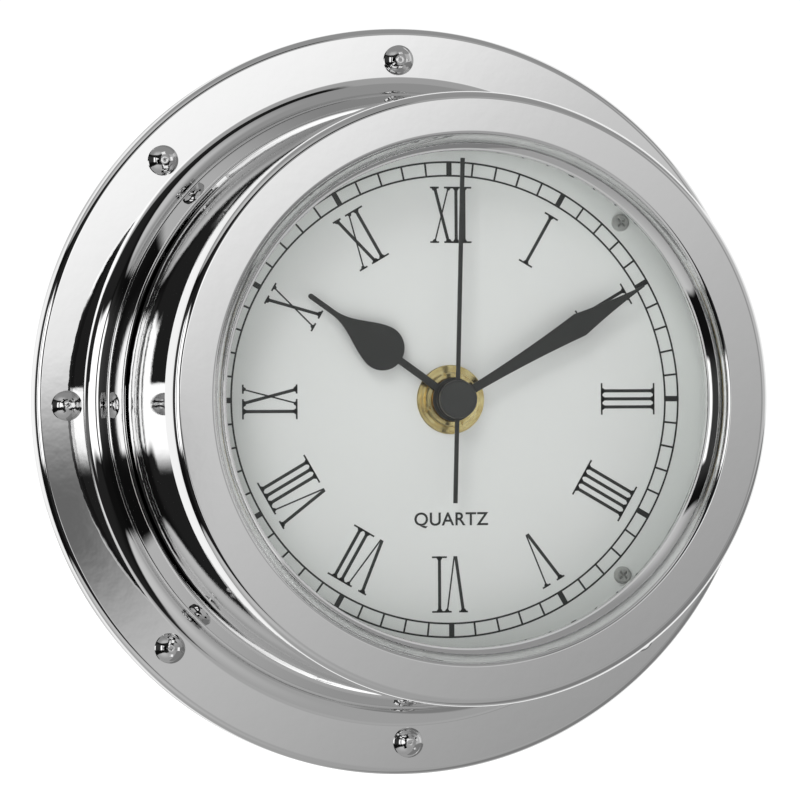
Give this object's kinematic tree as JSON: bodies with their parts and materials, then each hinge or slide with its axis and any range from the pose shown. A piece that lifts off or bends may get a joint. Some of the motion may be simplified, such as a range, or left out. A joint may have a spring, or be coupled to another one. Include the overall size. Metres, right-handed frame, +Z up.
{
  "type": "bulkhead clock",
  "caption": "Round bulkhead clock for a ship: screw-down flanged base, twist-off polished case, flat glass, white dial with radial Roman numerals, black hands, quartz movement.",
  "frame": {"origin": "centre of the flat back face that sits on the wall, on the hands' axis", "axes": "+X to the clock's right as it is read, +Z up towards XII, -Y out of the dial towards the reader, +Y into the wall"},
  "size_m": [0.15, 0.0707, 0.15],
  "materials": {
    "polished_metal": "mirror-polished plated metal",
    "screw_metal": "bright plated steel",
    "pin_steel": "turned steel",
    "support_metal": "plain machined",
    "glass": "clear flat glass",
    "gasket_rubber": "matt black",
    "dial_white": "matt white paint",
    "brass": "bright turned",
    "movement_plastic": "matt black moulding",
    "wheel_plastic": "natural moulding",
    "knob_plastic": "pale grey moulding",
    "core_steel": "stamped",
    "copper_wire": "enamelled copper wire",
    "board_green": "coated board",
    "chip_black": "potted",
    "battery_jacket": "printed jacket, plain",
    "contact_metal": "nickel-plated strip",
    "hand_black": "matt black paint",
    "magnet": "sintered"
  },
  "bodies": {
    "base": {"mounting_base": "polished_metal", "lock_pins": "pin_steel", "flange_screws": "screw_metal"},
    "case": {"case_drum": "polished_metal", "dial_support": "support_metal", "bezel": "polished_metal", "glass": "glass", "glass_retainer": "gasket_rubber", "dial": "dial_white", "dial_screws": "screw_metal", "dial_cushion": "gasket_rubber", "shaft_washer": "brass", "shaft_nut": "brass", "threaded_bush": "brass", "movement_front": "movement_plastic", "movement_back": "movement_plastic", "train_bridge": "wheel_plastic", "stator": "core_steel", "coil_core": "core_steel", "coil_bobbin": "wheel_plastic", "coil_winding": "copper_wire", "circuit_board": "board_green", "circuit_chip": "chip_black", "quartz_crystal": "core_steel", "battery": "battery_jacket", "contact_minus": "contact_metal", "contact_plus": "contact_metal"},
    "minute": {"minute_pipe": "brass", "minute_hand": "hand_black"},
    "hour": {"hour_pipe": "wheel_plastic", "hour_hand": "hand_black"},
    "motion": {"motion_wheel": "wheel_plastic"},
    "knob": {"setting_knob": "knob_plastic"},
    "second": {"second_wheel": "wheel_plastic", "second_hand": "hand_black", "centre_cap": "hand_black"},
    "step": {"step_wheel": "wheel_plastic"},
    "rotor": {"rotor": "wheel_plastic", "rotor_magnet": "magnet"},
    "third": {"third_wheel": "wheel_plastic"},
    "centre": {"centre_wheel": "wheel_plastic"}
  },
  "joints": [
    {"name": "case_twist", "type": "hinge", "parent": "base", "child": "case", "pos_m": [0, 0, 0], "axis": [0, -1, 0], "range_deg": [0, 20]},
    {"name": "minute_turn", "type": "hinge", "parent": "case", "child": "minute", "pos_m": [0, 0, 0], "axis": [0, 1, 0], "continuous": true},
    {"name": "hour_turn", "type": "hinge", "parent": "case", "child": "hour", "pos_m": [0, 0, 0], "axis": [0, 1, 0], "continuous": true},
    {"name": "motion_turn", "type": "hinge", "parent": "case", "child": "motion", "pos_m": [-0.00789, 0, -0.00287], "axis": [0, 1, 0], "continuous": true},
    {"name": "knob_turn", "type": "hinge", "parent": "case", "child": "knob", "pos_m": [-0.01579, 0, 0], "axis": [0, 1, 0], "continuous": true},
    {"name": "second_turn", "type": "hinge", "parent": "case", "child": "second", "pos_m": [0, 0, 0], "axis": [0, 1, 0], "continuous": true},
    {"name": "step_turn", "type": "hinge", "parent": "case", "child": "step", "pos_m": [-0.00679, 0, 0.00679], "axis": [0, 1, 0], "continuous": true},
    {"name": "rotor_turn", "type": "hinge", "parent": "case", "child": "rotor", "pos_m": [-0.01406, 0, 0.01099], "axis": [0, 1, 0], "continuous": true},
    {"name": "third_turn", "type": "hinge", "parent": "case", "child": "third", "pos_m": [0.00805, 0, 0.00465], "axis": [0, 1, 0], "continuous": true},
    {"name": "centre_turn", "type": "hinge", "parent": "case", "child": "centre", "pos_m": [0, 0, 0], "axis": [0, 1, 0], "continuous": true}
  ],
  "couplings": [
    {"joint": "hour_turn", "follows": "minute_turn", "ratio": 0.083333},
    {"joint": "motion_turn", "follows": "minute_turn", "ratio": -0.33333},
    {"joint": "knob_turn", "follows": "minute_turn", "ratio": 1},
    {"joint": "step_turn", "follows": "second_turn", "ratio": -5},
    {"joint": "rotor_turn", "follows": "second_turn", "ratio": 30},
    {"joint": "third_turn", "follows": "second_turn", "ratio": -0.13333},
    {"joint": "centre_turn", "follows": "second_turn", "ratio": 0.016667}
  ]
}
